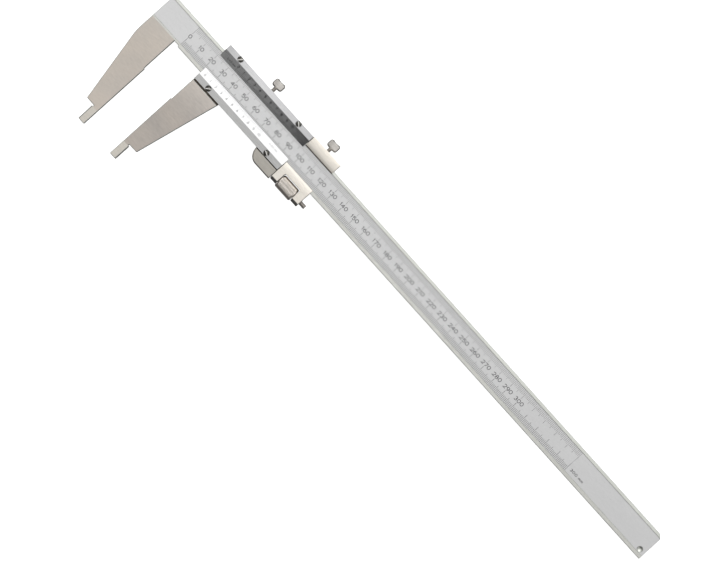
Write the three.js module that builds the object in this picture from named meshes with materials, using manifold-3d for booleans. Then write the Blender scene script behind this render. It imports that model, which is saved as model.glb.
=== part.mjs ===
// Nib-style vernier caliper, 0 to 300 mm, with a fine-adjustment carriage.
//
// Units are millimetres. +X runs along the beam in the direction the slider opens, +Y from the jaws
// to the clamp screws, and +Z out of the graduated face. While the pieces are made, x = 0 is the fixed
// measuring face, y = 0 the beam's centreline and z = 0 the beam's back. The exported group then puts
// its origin at the middle of the fixed measuring face.

import * as THREE from 'three';
import { mergeVertices } from 'three/addons/utils/BufferGeometryUtils.js';
import Module from 'manifold-3d';

const wasm = await Module();
wasm.setup();

// ---------------------------------------------------------------- driving dimensions

// Beam
const BEAM_START = -21.1;
const BEAM_END = 424.8;
const BEAM_THICKNESS = 4;
const BEAM_EDGE = 10; // half of the 20 mm width
const END_CHAMFER = 2.5; // at the far upper corner
const SCALE_TOP = 7.9; // the recessed scale face lies between the two rails
const SCALE_BOTTOM = -7.5;
const SCALE_RECESS = 0.15;
const END_HOLE_X = 420.8; // a countersink near the far lower corner
const END_HOLE_Y = -5.6;
const END_HOLE_RADIUS = 1.8;
const END_HOLE_DEPTH = 1.3;
const ROOT_RELIEF_END = 3.3; // clearance notch in the lower edge beside the fixed jaw
const ROOT_RELIEF_DEPTH = 0.9;
const ROOT_RELIEF_RAMP = 0.3;

// Jaws
const OPENING = 24; // between the measuring faces, as the caliper is stored
const JAW_THICKNESS = 4;
const JAW_TIP = -84.2;
const FACE_TOP = -34.1; // the measuring faces are 50 mm long
const FACE_RELIEF = 0.6; // set-back of the edge above a measuring face
const FIXED_JAW_TOP = -8.7; // the jaw's root is let into the beam's lower edge
const STEP_Y = -71.9; // shoulder where the jaw narrows to its nib
const STEP_WIDTH = 10.5;
const FLANK_SLOPE = 0.212; // sideways per unit along the jaw
const FIXED_JAW_WIDTH = 21.1;
const KNEE_ROUNDING = 4; // length of the rounded knee on each side of its corner
const NIB_WIDTH = 5; // two closed nibs measure 10 mm
const NIB_TOP = -72.9;
const NIB_UNDERCUT = 0.9;
const NIB_RADIUS = 4.8; // of the nib's rounded outer face
const JAW_GROOVE = 1.1; // width and depth of the sloping groove under the slider's lower bar

// Slider
const SLIDER_START = OPENING + FACE_RELIEF;
const SLIDER_END = 100.2;
const SLIDER_TOP = 15;
const SLIDER_BOTTOM = -15.1;
const BACK_Z = -2.5; // back of the slider and of the carriage
const WALL_Z = 4.1; // the walls are 0.1 mm higher than the beam
const FRONT_Z = 6.3;
const RUNNING_GAP = 0.06; // between the beam and what slides on it
const GIB_WALL = 11.15; // inner face of the upper walls, with room for a gib

// Vernier plates
const UPPER_CREASE = 11.2;
const UPPER_EDGE = 5.9;
const LOWER_CREASE = -11;
const LOWER_EDGE = -5.6;
const PLATE_EDGE_Z = 4.45; // height of the thin graduated edge
const PLATE_SCREW_X = [35.3, 88.3];
const PLATE_SCREW_Y = 13.25;
const COUNTERBORE_RADIUS = 1.95;
const COUNTERBORE_Z = 5.1;
const PLATE_SCREW_HEAD = 1.75;
const PLATE_SCREW_RIM_Z = 5.5; // the domed head's rim, and its top
const PLATE_SCREW_TOP_Z = 6.15;
const PLATE_SCREW_SLOT_Z = 5.35;
const DOME_STEPS = 6; // straight pieces from the dome's rim to its top
const PLATE_SCREW_SHANK = 0.8;
const PLATE_SCREW_TIP = 1.4;
const PLATE_SCREW_CLEARANCE = 0.1;
const SLOT_WIDTH = 0.55;
const SLOT_DEPTH = 0.45; // of the set screws

// Gibs and their set screws
const GIB_THICKNESS = 0.75;
const GIB_REST = 10.31; // inner edge, with the clamps slack
const GIB_LOW = 0.2;
const GIB_HIGH = 3.8;
const GIB_END_GAP = 1;
const SET_SCREW_X = [29.6, 94.6];
const SET_SCREW_RADIUS = 0.95;
const SET_SCREW_CLEARANCE = 0.05;
const SET_SCREW_TIP = 11.12;
const SET_SCREW_HEAD = 14.7;

// Clamp screws
const CLAMP_Z = 2;
const CLAMP_SHANK = 1.3;
const CLAMP_HOLE = 1.4;
const PADDLE_BOTTOM = 17.6;
const PADDLE_HEIGHT = 5.4;
const PADDLE_HALF_WIDTH = 3.9;
const PADDLE_CORNER = 1.6;
const PADDLE_DIP = 0.35;
const PADDLE_RIM = 1.15; // half thickness at the ends
const PADDLE_WAIST = 0.7; // half thickness in the middle
const PADDLE_CORNER_STEPS = 8;
const PADDLE_STEPS = 20; // straight pieces across its hollow
const NECK_TAPER = 1.6;
const SLIDER_CLAMP_X = 62.3;

// Lug of the slider, and the adjusting screw that it holds
const LUG_START = 81.4;
const LUG_END = 100.2;
const LUG_BOTTOM = -22.75;
const LUG_ROUND_X = 6.8;
const LUG_TOP_Z = 5.3;
const LUG_GAP = 0.5; // width of the slope from the lug's raised front down to the lower bar's seat
const LUG_ROOT = 2; // how far the lug runs up into the slider's lower wall
const ADJUST_Y = -18.1;
const ADJUST_Z = 2.2;
const ADJUST_RADIUS = 1.5;
const ADJUST_BORE = 1.55;
const ADJUST_BORE_SPARE = 0.5; // blind depth left behind the screw's end
const ADJUST_START = 85;
const ADJUST_END = 128.6;
const ADJUST_CHAMFER = 0.4;
const PIN_X = 90.5;
const PIN_RADIUS = 0.6;
const PIN_HOLE = 0.65;
const PIN_TOP = 3.95;
const PIN_END_GAP = 0.1;

// Carriage and adjusting nut
const CARRIAGE_START = 100.6;
const CARRIAGE_END = 124.3;
const CARRIAGE_TOP = 15.5;
const CARRIAGE_UPPER_LIP = 8.3;
const CARRIAGE_LIP_FOOT = 7.65; // the upper lip's side slopes down to here
const CARRIAGE_LOWER_LIP = -7.6;
const UPPER_CROWN_Y = 12.3; // highest line of the slightly crowned upper bar
const UPPER_CROWN = 0.03; // height lost per square of the distance from that line
const LOWER_CROWN_Y = -12.5;
const LOWER_CROWN = 0.023;
const CROWN_STEPS = 10; // straight pieces across a crown
const PRONG_EDGE_Y = -19.9; // the prongs' front ends here, and their side slopes to the back
const PRONG_FOOT_Y = -21.75;
const CARRIAGE_CLAMP_X = 112.4;
const WINDOW_START = 105.4;
const WINDOW_END = 119.1;
const WINDOW_TOP = -13;
const WINDOW_CORNER = 0.8;
const PRONG_HOLE = 1.7;
const NUT_START = 105.8;
const NUT_END = 118.7;
const NUT_RADIUS = 4.6;
const NUT_CHAMFER = 0.4;
const NUT_BORE = 1.55;

const OVERSHOOT = 1; // how far a cutting tool runs past the face it cuts
const ROUND = 32; // sides of small round features
const FINE_ROUND = 64;
const CORNER_STEPS = 12; // straight pieces round a corner

// ---------------------------------------------------------------- materials

function metal(colour, roughness) {
  return new THREE.MeshStandardMaterial({ color: colour, roughness, metalness: 1 });
}

const satinChrome = metal(0xcdcdce, 0.35);
const groundSteel = metal(0xc3bbb2, 0.42);
const platedSteel = metal(0xe2dcd0, 0.3);
const screwSteel = metal(0x8d8a84, 0.3);
const nutSteel = metal(0xbcb3aa, 0.32);
const thumbScrewSteel = metal(0xa8a49c, 0.4);
const bronze = metal(0xb58a4c, 0.4);

// ---------------------------------------------------------------- solids and booleans

function toSolid(geometry) {
  const bare = geometry.index ? geometry.toNonIndexed() : geometry.clone();
  bare.deleteAttribute('normal');
  bare.deleteAttribute('uv');
  const merged = mergeVertices(bare, 1e-5);
  const vertProperties = Float32Array.from(merged.attributes.position.array);
  const triVerts = Uint32Array.from(merged.index.array);
  return new wasm.Manifold(new wasm.Mesh({ numProp: 3, vertProperties, triVerts }));
}

function toGeometry(solid) {
  const mesh = solid.getMesh();
  const geometry = new THREE.BufferGeometry();
  geometry.setAttribute('position', new THREE.BufferAttribute(mesh.vertProperties, 3));
  geometry.setIndex(new THREE.BufferAttribute(mesh.triVerts, 1));
  geometry.computeVertexNormals();
  return geometry;
}

function box(x0, x1, y0, y1, z0, z1) {
  const geometry = new THREE.BoxGeometry(x1 - x0, y1 - y0, z1 - z0);
  geometry.translate((x0 + x1) / 2, (y0 + y1) / 2, (z0 + z1) / 2);
  return toSolid(geometry);
}

// A flat shape drawn in x and y, from z0 to z1.
function plate(shape, z0, z1, curveSegments = CORNER_STEPS) {
  const options = { depth: z1 - z0, bevelEnabled: false, curveSegments };
  const geometry = new THREE.ExtrudeGeometry(shape, options);
  geometry.translate(0, 0, z0);
  return toSolid(geometry);
}

// A section drawn as [y, z] points, from x0 to x1.
function barAlongX(points, x0, x1) {
  const shape = new THREE.Shape(points.map(([y, z]) => new THREE.Vector2(y, z)));
  const geometry = new THREE.ExtrudeGeometry(shape, { depth: x1 - x0, bevelEnabled: false });
  const yAxis = new THREE.Vector3(0, 1, 0);
  const zAxis = new THREE.Vector3(0, 0, 1);
  const xAxis = new THREE.Vector3(1, 0, 0);
  geometry.applyMatrix4(new THREE.Matrix4().makeBasis(yAxis, zAxis, xAxis));
  geometry.translate(x0, 0, 0);
  return toSolid(geometry);
}

// A turned piece from [radius, distance along its axis] points, with its axis through (x, y, z).
function turned(profile, axis, x, y, z, sides = ROUND) {
  const points = profile.map(([radius, along]) => new THREE.Vector2(radius, along));
  const geometry = new THREE.LatheGeometry(points, sides);
  if (axis === 'x') geometry.rotateZ(-Math.PI / 2);
  if (axis === 'z') geometry.rotateX(Math.PI / 2);
  geometry.translate(x, y, z);
  return toSolid(geometry);
}

function rodX(radius, x0, x1, y, z, sides = ROUND) {
  return turned([[0, x0], [radius, x0], [radius, x1], [0, x1]], 'x', 0, y, z, sides);
}

function rodY(radius, y0, y1, x, z, sides = ROUND) {
  return turned([[0, y0], [radius, y0], [radius, y1], [0, y1]], 'y', x, 0, z, sides);
}

function rodZ(radius, z0, z1, x, y, sides = ROUND) {
  return turned([[0, z0], [radius, z0], [radius, z1], [0, z1]], 'z', x, y, 0, sides);
}

// ---------------------------------------------------------------- beam and fixed jaw

function beam() {
  const outline = new THREE.Shape();
  outline.moveTo(BEAM_START, FIXED_JAW_TOP);
  outline.lineTo(0, FIXED_JAW_TOP);
  outline.lineTo(0, -BEAM_EDGE + ROOT_RELIEF_DEPTH);
  outline.lineTo(ROOT_RELIEF_END, -BEAM_EDGE + ROOT_RELIEF_DEPTH);
  outline.lineTo(ROOT_RELIEF_END + ROOT_RELIEF_RAMP, -BEAM_EDGE);
  outline.lineTo(BEAM_END, -BEAM_EDGE);
  outline.lineTo(BEAM_END, BEAM_EDGE - END_CHAMFER);
  outline.lineTo(BEAM_END - END_CHAMFER, BEAM_EDGE);
  outline.lineTo(BEAM_START, BEAM_EDGE);
  const body = plate(outline, 0, BEAM_THICKNESS);
  const recess = box(
    BEAM_START - OVERSHOOT,
    BEAM_END + OVERSHOOT,
    SCALE_BOTTOM,
    SCALE_TOP,
    BEAM_THICKNESS - SCALE_RECESS,
    BEAM_THICKNESS + OVERSHOOT,
  );
  return body.subtract(recess).subtract(endHole());
}

// The blind conical hole near the far end.
function endHole() {
  const front = BEAM_THICKNESS - SCALE_RECESS;
  const slope = END_HOLE_RADIUS / END_HOLE_DEPTH;
  const profile = [
    [0, front - END_HOLE_DEPTH],
    [END_HOLE_RADIUS + OVERSHOOT * slope, front + OVERSHOOT],
    [0, front + OVERSHOOT],
  ];
  return turned(profile, 'z', END_HOLE_X, END_HOLE_Y, 0);
}

// A jaw's outline up to its shoulder, with w measured from the measuring face into the jaw.
// side is -1 for the fixed jaw, which lies left of its face, and +1 for the moving jaw.
function jawBlade(faceX, side, rootY, rootWidth) {
  const at = (w) => faceX + side * w;
  const flankWidth = STEP_WIDTH + (rootY - STEP_Y) * FLANK_SLOPE;
  const outline = new THREE.Shape();
  outline.moveTo(at(0), STEP_Y);
  outline.lineTo(at(STEP_WIDTH), STEP_Y);
  if (rootWidth < flankWidth) {
    const kneeY = STEP_Y + (rootWidth - STEP_WIDTH) / FLANK_SLOPE;
    const below = at(rootWidth - KNEE_ROUNDING * FLANK_SLOPE);
    outline.lineTo(below, kneeY - KNEE_ROUNDING);
    outline.quadraticCurveTo(at(rootWidth), kneeY, at(rootWidth), kneeY + KNEE_ROUNDING);
    outline.lineTo(at(rootWidth), rootY);
  } else {
    outline.lineTo(at(flankWidth), rootY);
  }
  outline.lineTo(at(FACE_RELIEF), rootY);
  outline.lineTo(at(FACE_RELIEF), FACE_TOP);
  outline.lineTo(at(0), FACE_TOP);
  return plate(outline, 0, JAW_THICKNESS).add(nib(faceX, side));
}

// The nib below the shoulder: its measuring face is flat, and its outer face is rounded.
function nib(faceX, side) {
  const between = (w0, w1) => [faceX + side * w0, faceX + side * w1].sort((a, b) => a - b);
  const [nibLow, nibHigh] = between(0, NIB_WIDTH);
  const [neckLow, neckHigh] = between(0, NIB_WIDTH - NIB_UNDERCUT);
  const block = box(nibLow, nibHigh, JAW_TIP, NIB_TOP, 0, JAW_THICKNESS);
  const centre = faceX + side * (NIB_WIDTH - NIB_RADIUS);
  const rounding = rodY(
    NIB_RADIUS,
    JAW_TIP - OVERSHOOT,
    NIB_TOP + OVERSHOOT,
    centre,
    JAW_THICKNESS / 2,
    FINE_ROUND,
  );
  const neck = box(neckLow, neckHigh, NIB_TOP - OVERSHOOT, STEP_Y + OVERSHOOT, 0, JAW_THICKNESS);
  return block.intersect(rounding).add(neck);
}

function fixedJaw() {
  return jawBlade(0, -1, FIXED_JAW_TOP, FIXED_JAW_WIDTH);
}

function movingJaw() {
  const blade = jawBlade(OPENING, 1, SLIDER_BOTTOM, Infinity);
  const groove = barAlongX(
    [
      [SLIDER_BOTTOM - JAW_GROOVE - OVERSHOOT, JAW_THICKNESS + OVERSHOOT],
      [SLIDER_BOTTOM + OVERSHOOT, JAW_THICKNESS - JAW_GROOVE - OVERSHOOT],
      [SLIDER_BOTTOM + OVERSHOOT, JAW_THICKNESS + OVERSHOOT],
    ],
    OPENING - OVERSHOOT,
    SLIDER_END,
  );
  return blade.subtract(groove);
}

// ---------------------------------------------------------------- slider

function sliderFrame() {
  const channel = barAlongX(
    [
      [SLIDER_TOP, BACK_Z],
      [SLIDER_TOP, WALL_Z],
      [GIB_WALL, WALL_Z],
      [GIB_WALL, -RUNNING_GAP],
      [-BEAM_EDGE - RUNNING_GAP, -RUNNING_GAP],
      [-BEAM_EDGE - RUNNING_GAP, WALL_Z],
      [SLIDER_BOTTOM, WALL_Z],
      [SLIDER_BOTTOM, BACK_Z],
    ],
    SLIDER_START,
    SLIDER_END,
  );
  let frame = channel.add(lug());
  for (const x of PLATE_SCREW_X) {
    for (const y of [PLATE_SCREW_Y, -PLATE_SCREW_Y]) {
      const depth = PLATE_SCREW_TIP - PLATE_SCREW_CLEARANCE;
      const radius = PLATE_SCREW_SHANK + PLATE_SCREW_CLEARANCE;
      frame = frame.subtract(rodZ(radius, depth, WALL_Z + OVERSHOOT, x, y));
    }
  }
  for (const x of SET_SCREW_X) {
    const radius = SET_SCREW_RADIUS + SET_SCREW_CLEARANCE;
    frame = frame.subtract(rodY(radius, GIB_WALL - OVERSHOOT, SLIDER_TOP + OVERSHOOT, x, CLAMP_Z));
  }
  const clampHole = rodY(
    CLAMP_HOLE,
    GIB_WALL - OVERSHOOT,
    SLIDER_TOP + OVERSHOOT,
    SLIDER_CLAMP_X,
    CLAMP_Z,
  );
  return frame.subtract(clampHole);
}

// The lug that holds the adjusting screw: a quarter-round ear below the slider's lower wall.
function lugOutline(topY) {
  const roundY = SLIDER_BOTTOM - LUG_BOTTOM;
  const outline = new THREE.Shape();
  outline.moveTo(LUG_START, topY);
  outline.lineTo(LUG_START, SLIDER_BOTTOM);
  const corner = new THREE.EllipseCurve(
    LUG_START + LUG_ROUND_X,
    SLIDER_BOTTOM,
    LUG_ROUND_X,
    roundY,
    Math.PI,
    1.5 * Math.PI,
  );
  for (const point of corner.getPoints(2 * CORNER_STEPS).slice(1)) outline.lineTo(point.x, point.y);
  outline.lineTo(LUG_END, LUG_BOTTOM);
  outline.lineTo(LUG_END, topY);
  return outline;
}

function lug() {
  const blank = plate(lugOutline(SLIDER_BOTTOM + LUG_ROOT), BACK_Z, LUG_TOP_Z);
  const drop = LUG_TOP_Z - WALL_Z;
  const seat = barAlongX(
    [
      [SLIDER_BOTTOM - 2 * LUG_GAP, LUG_TOP_Z + drop],
      [SLIDER_BOTTOM, WALL_Z],
      [SLIDER_BOTTOM + LUG_ROOT + OVERSHOOT, WALL_Z],
      [SLIDER_BOTTOM + LUG_ROOT + OVERSHOOT, LUG_TOP_Z + drop],
    ],
    LUG_START - OVERSHOOT,
    LUG_END + OVERSHOOT,
  );
  const ear = blank.subtract(seat);
  const boreStart = ADJUST_START - ADJUST_BORE_SPARE;
  const bore = rodX(ADJUST_BORE, boreStart, LUG_END + OVERSHOOT, ADJUST_Y, ADJUST_Z);
  const pinHole = rodZ(PIN_HOLE, BACK_Z - OVERSHOOT, PIN_TOP + PIN_END_GAP, PIN_X, ADJUST_Y);
  return ear.subtract(bore).subtract(pinHole);
}

// One plate of the front: a flat strip that is screwed down, and a bevel down to the graduated edge.
function vernierPlate(outerY, creaseY, edgeY, side) {
  let body = barAlongX(
    [
      [outerY, WALL_Z],
      [outerY, FRONT_Z],
      [creaseY, FRONT_Z],
      [edgeY, PLATE_EDGE_Z],
      [edgeY, WALL_Z],
    ],
    SLIDER_START,
    SLIDER_END,
  );
  for (const x of PLATE_SCREW_X) {
    const y = side * PLATE_SCREW_Y;
    const radius = PLATE_SCREW_SHANK + PLATE_SCREW_CLEARANCE;
    const hole = rodZ(radius, WALL_Z - OVERSHOOT, FRONT_Z + OVERSHOOT, x, y);
    const seat = rodZ(COUNTERBORE_RADIUS, COUNTERBORE_Z, FRONT_Z + OVERSHOOT, x, y, FINE_ROUND);
    body = body.subtract(hole).subtract(seat);
  }
  return body;
}

// [radius, z] points of a spherical dome, from its rim to its top.
function dome(rimRadius, rimZ, topZ) {
  const rise = topZ - rimZ;
  const sphere = (rimRadius * rimRadius + rise * rise) / (2 * rise);
  const spread = Math.asin(rimRadius / sphere);
  const points = [];
  for (let i = 0; i <= DOME_STEPS; i += 1) {
    const angle = spread * (1 - i / DOME_STEPS);
    points.push([sphere * Math.sin(angle), topZ - sphere * (1 - Math.cos(angle))]);
  }
  return points;
}

function plateScrew(x, y) {
  const profile = [
    [0, PLATE_SCREW_TIP],
    [PLATE_SCREW_SHANK, PLATE_SCREW_TIP],
    [PLATE_SCREW_SHANK, COUNTERBORE_Z],
    [PLATE_SCREW_HEAD, COUNTERBORE_Z],
    ...dome(PLATE_SCREW_HEAD, PLATE_SCREW_RIM_Z, PLATE_SCREW_TOP_Z),
  ];
  const slot = box(
    x - PLATE_SCREW_HEAD - OVERSHOOT,
    x + PLATE_SCREW_HEAD + OVERSHOOT,
    y - SLOT_WIDTH / 2,
    y + SLOT_WIDTH / 2,
    PLATE_SCREW_SLOT_Z,
    PLATE_SCREW_TOP_Z + OVERSHOOT,
  );
  return turned(profile, 'z', x, y, 0, FINE_ROUND).subtract(slot);
}

function gib(x0, x1) {
  return box(x0, x1, GIB_REST, GIB_REST + GIB_THICKNESS, GIB_LOW, GIB_HIGH);
}

// A headless slotted screw in the slider's upper edge, which keeps the gib from falling back.
function setScrew(x) {
  const body = rodY(SET_SCREW_RADIUS, SET_SCREW_TIP, SET_SCREW_HEAD, x, CLAMP_Z);
  const slot = box(
    x - SET_SCREW_RADIUS - OVERSHOOT,
    x + SET_SCREW_RADIUS + OVERSHOOT,
    SET_SCREW_HEAD - SLOT_DEPTH,
    SET_SCREW_HEAD + OVERSHOOT,
    CLAMP_Z - SLOT_WIDTH / 2,
    CLAMP_Z + SLOT_WIDTH / 2,
  );
  return body.subtract(slot);
}

// ---------------------------------------------------------------- clamp screws

// The flat of the paddle as seen from the front: rounded corners and a dip in the far edge.
function paddleOutline(x) {
  const left = x - PADDLE_HALF_WIDTH;
  const right = x + PADDLE_HALF_WIDTH;
  const bottom = PADDLE_BOTTOM;
  const top = PADDLE_BOTTOM + PADDLE_HEIGHT;
  const r = PADDLE_CORNER;
  const outline = new THREE.Shape();
  outline.moveTo(left + r, bottom);
  outline.lineTo(right - r, bottom);
  outline.absarc(right - r, bottom + r, r, -Math.PI / 2, 0, false);
  outline.lineTo(right, top - r);
  outline.absarc(right - r, top - r, r, 0, Math.PI / 2, false);
  outline.quadraticCurveTo(x, top - 2 * PADDLE_DIP, left + r, top);
  outline.absarc(left + r, top - r, r, Math.PI / 2, Math.PI, false);
  outline.lineTo(left, bottom + r);
  outline.absarc(left + r, bottom + r, r, Math.PI, 1.5 * Math.PI, false);
  return outline;
}

// The paddle is thin in the middle and thick at its ends, where the finger and thumb press.
function paddleSection(x) {
  const reach = PADDLE_HALF_WIDTH + OVERSHOOT;
  const front = [];
  for (let i = 0; i <= PADDLE_STEPS; i += 1) {
    const offset = -reach + (2 * reach * i) / PADDLE_STEPS;
    const across = offset / PADDLE_HALF_WIDTH;
    const half = PADDLE_WAIST + (PADDLE_RIM - PADDLE_WAIST) * across * across;
    front.push(new THREE.Vector2(x + offset, half));
  }
  const back = front.map((point) => new THREE.Vector2(point.x, -point.y)).reverse();
  const geometry = new THREE.ExtrudeGeometry(new THREE.Shape([...front, ...back]), {
    depth: PADDLE_HEIGHT + 2 * OVERSHOOT,
    bevelEnabled: false,
  });
  geometry.rotateX(Math.PI / 2);
  geometry.translate(0, PADDLE_BOTTOM + PADDLE_HEIGHT + OVERSHOOT, CLAMP_Z);
  return toSolid(geometry);
}

function clampScrew(x) {
  const halfDepth = PADDLE_RIM + OVERSHOOT;
  const blank = plate(paddleOutline(x), CLAMP_Z - halfDepth, CLAMP_Z + halfDepth, PADDLE_CORNER_STEPS);
  const paddle = blank.intersect(paddleSection(x));
  const shank = turned(
    [
      [0, GIB_REST + GIB_THICKNESS],
      [CLAMP_SHANK, GIB_REST + GIB_THICKNESS],
      [CLAMP_SHANK, PADDLE_BOTTOM],
      [PADDLE_WAIST, PADDLE_BOTTOM + NECK_TAPER],
      [0, PADDLE_BOTTOM + NECK_TAPER],
    ],
    'y',
    x,
    0,
    CLAMP_Z,
  );
  return paddle.add(shank);
}

// ---------------------------------------------------------------- fine adjustment

// Points of the carriage's front from y0 to y1, highest at crownY.
function crowned(y0, y1, crownY, loss) {
  const points = [];
  for (let i = 0; i <= CROWN_STEPS; i += 1) {
    const y = y0 + ((y1 - y0) * i) / CROWN_STEPS;
    points.push([y, FRONT_Z - loss * (y - crownY) ** 2]);
  }
  return points;
}

function carriage() {
  const block = barAlongX(
    [
      [CARRIAGE_TOP, BACK_Z],
      ...crowned(CARRIAGE_TOP, CARRIAGE_UPPER_LIP, UPPER_CROWN_Y, UPPER_CROWN),
      [CARRIAGE_LIP_FOOT, WALL_Z],
      [GIB_WALL, WALL_Z],
      [GIB_WALL, -RUNNING_GAP],
      [-BEAM_EDGE - RUNNING_GAP, -RUNNING_GAP],
      [-BEAM_EDGE - RUNNING_GAP, WALL_Z],
      [CARRIAGE_LOWER_LIP, WALL_Z],
      ...crowned(CARRIAGE_LOWER_LIP, LOWER_CROWN_Y, LOWER_CROWN_Y, LOWER_CROWN),
      [PRONG_EDGE_Y, FRONT_Z],
      [PRONG_FOOT_Y, BACK_Z],
    ],
    CARRIAGE_START,
    CARRIAGE_END,
  );
  const prongHole = rodX(
    PRONG_HOLE,
    CARRIAGE_START - OVERSHOOT,
    CARRIAGE_END + OVERSHOOT,
    ADJUST_Y,
    ADJUST_Z,
  );
  const clampHole = rodY(
    CLAMP_HOLE,
    GIB_WALL - OVERSHOOT,
    CARRIAGE_TOP + OVERSHOOT,
    CARRIAGE_CLAMP_X,
    CLAMP_Z,
  );
  return block.subtract(nutWindow()).subtract(prongHole).subtract(clampHole);
}

// The slot that holds the nut between the two prongs, open at its lower end.
function nutWindow() {
  const r = WINDOW_CORNER;
  const low = LUG_BOTTOM - OVERSHOOT;
  const outline = new THREE.Shape();
  outline.moveTo(WINDOW_START, low);
  outline.lineTo(WINDOW_END, low);
  outline.lineTo(WINDOW_END, WINDOW_TOP - r);
  outline.absarc(WINDOW_END - r, WINDOW_TOP - r, r, 0, Math.PI / 2, false);
  outline.lineTo(WINDOW_START + r, WINDOW_TOP);
  outline.absarc(WINDOW_START + r, WINDOW_TOP - r, r, Math.PI / 2, Math.PI, false);
  return plate(outline, BACK_Z - OVERSHOOT, FRONT_Z + OVERSHOOT);
}

function adjustingScrew() {
  const c = ADJUST_CHAMFER;
  const profile = [
    [0, ADJUST_START],
    [ADJUST_RADIUS, ADJUST_START],
    [ADJUST_RADIUS, ADJUST_END - c],
    [ADJUST_RADIUS - c, ADJUST_END],
    [0, ADJUST_END],
  ];
  const rod = turned(profile, 'x', 0, ADJUST_Y, ADJUST_Z);
  const crossHole = rodZ(PIN_HOLE, BACK_Z, FRONT_Z, PIN_X, ADJUST_Y);
  return rod.subtract(crossHole);
}

function adjustingScrewPin() {
  return rodZ(PIN_RADIUS, BACK_Z + PIN_END_GAP, PIN_TOP, PIN_X, ADJUST_Y);
}

function adjustingNut() {
  const c = NUT_CHAMFER;
  const profile = [
    [NUT_BORE, NUT_START],
    [NUT_RADIUS - c, NUT_START],
    [NUT_RADIUS, NUT_START + c],
    [NUT_RADIUS, NUT_END - c],
    [NUT_RADIUS - c, NUT_END],
    [NUT_BORE, NUT_END],
    [NUT_BORE, NUT_START],
  ];
  return turned(profile, 'x', 0, ADJUST_Y, ADJUST_Z, FINE_ROUND);
}

// ---------------------------------------------------------------- assembly

const caliper = new THREE.Group();

function piece(name, material, solid) {
  const mesh = new THREE.Mesh(toGeometry(solid), material);
  mesh.name = name;
  caliper.add(mesh);
}

piece('beam', satinChrome, beam());
piece('fixed_jaw', groundSteel, fixedJaw());

piece('slider_frame', groundSteel, sliderFrame());
piece('moving_jaw', groundSteel, movingJaw());
piece('upper_vernier_plate', satinChrome, vernierPlate(SLIDER_TOP, UPPER_CREASE, UPPER_EDGE, 1));
piece('lower_vernier_plate', satinChrome, vernierPlate(SLIDER_BOTTOM, LOWER_CREASE, LOWER_EDGE, -1));
PLATE_SCREW_X.forEach((x, i) => {
  piece(`upper_plate_screw_${i + 1}`, screwSteel, plateScrew(x, PLATE_SCREW_Y));
  piece(`lower_plate_screw_${i + 1}`, screwSteel, plateScrew(x, -PLATE_SCREW_Y));
});
piece('slider_gib', bronze, gib(SLIDER_START + GIB_END_GAP, SLIDER_END - GIB_END_GAP));
SET_SCREW_X.forEach((x, i) => piece(`gib_set_screw_${i + 1}`, screwSteel, setScrew(x)));
piece('slider_clamp_screw', thumbScrewSteel, clampScrew(SLIDER_CLAMP_X));

piece('adjusting_screw', thumbScrewSteel, adjustingScrew());
piece('adjusting_screw_pin', screwSteel, adjustingScrewPin());

piece('carriage', platedSteel, carriage());
piece('carriage_gib', bronze, gib(CARRIAGE_START + GIB_END_GAP, CARRIAGE_END - GIB_END_GAP));
piece('carriage_clamp_screw', thumbScrewSteel, clampScrew(CARRIAGE_CLAMP_X));
piece('adjusting_nut', nutSteel, adjustingNut());

caliper.position.set(0, -(JAW_TIP + FACE_TOP) / 2, -JAW_THICKNESS / 2);

export default caliper;
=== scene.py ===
"""The looks of a nib-style vernier caliper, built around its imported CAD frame.

Lengths are millimetres in the caliper's own coordinates: x from the fixed measuring face along the
beam, y from the beam's centreline towards the clamp screws, and z up from the beam's back. TO_FRAME
turns them into the frame's metres. A piece that meets a CAD node takes its place from that node.
"""

import math

import bmesh
import bpy
from mathutils import Matrix, Vector


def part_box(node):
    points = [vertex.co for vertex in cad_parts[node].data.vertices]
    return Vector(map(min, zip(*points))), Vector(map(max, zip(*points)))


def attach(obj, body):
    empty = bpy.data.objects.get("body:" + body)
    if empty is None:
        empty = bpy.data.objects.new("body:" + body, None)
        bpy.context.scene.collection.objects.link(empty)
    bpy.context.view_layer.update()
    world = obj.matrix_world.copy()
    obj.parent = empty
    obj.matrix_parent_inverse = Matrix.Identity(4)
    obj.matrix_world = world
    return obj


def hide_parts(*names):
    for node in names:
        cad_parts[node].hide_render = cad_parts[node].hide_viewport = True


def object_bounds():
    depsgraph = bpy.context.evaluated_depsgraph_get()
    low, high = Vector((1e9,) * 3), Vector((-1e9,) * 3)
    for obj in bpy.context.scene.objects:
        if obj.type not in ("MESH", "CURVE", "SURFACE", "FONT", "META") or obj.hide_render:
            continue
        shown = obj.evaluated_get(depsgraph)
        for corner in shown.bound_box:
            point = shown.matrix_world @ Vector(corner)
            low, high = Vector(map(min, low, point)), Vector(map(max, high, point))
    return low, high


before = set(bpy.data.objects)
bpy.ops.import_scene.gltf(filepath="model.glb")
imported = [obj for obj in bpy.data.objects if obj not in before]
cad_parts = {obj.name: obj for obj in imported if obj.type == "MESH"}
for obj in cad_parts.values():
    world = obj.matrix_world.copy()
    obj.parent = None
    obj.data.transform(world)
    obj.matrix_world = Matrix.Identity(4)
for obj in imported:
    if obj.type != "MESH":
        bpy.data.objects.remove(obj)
cad_low, cad_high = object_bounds()
scene = bpy.context.scene

# ------------------------------------------------------------------ sizes

MM = 0.001
WELD = 5e-4  # mm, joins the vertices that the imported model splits

beam_low, beam_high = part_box("beam")
ORIGIN = Vector((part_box("fixed_jaw")[1].x, (beam_low.y + beam_high.y) / 2, beam_low.z))
TO_FRAME = Matrix.Translation(ORIGIN) @ Matrix.Scale(MM, 4)
FROM_FRAME = TO_FRAME.inverted()


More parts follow.
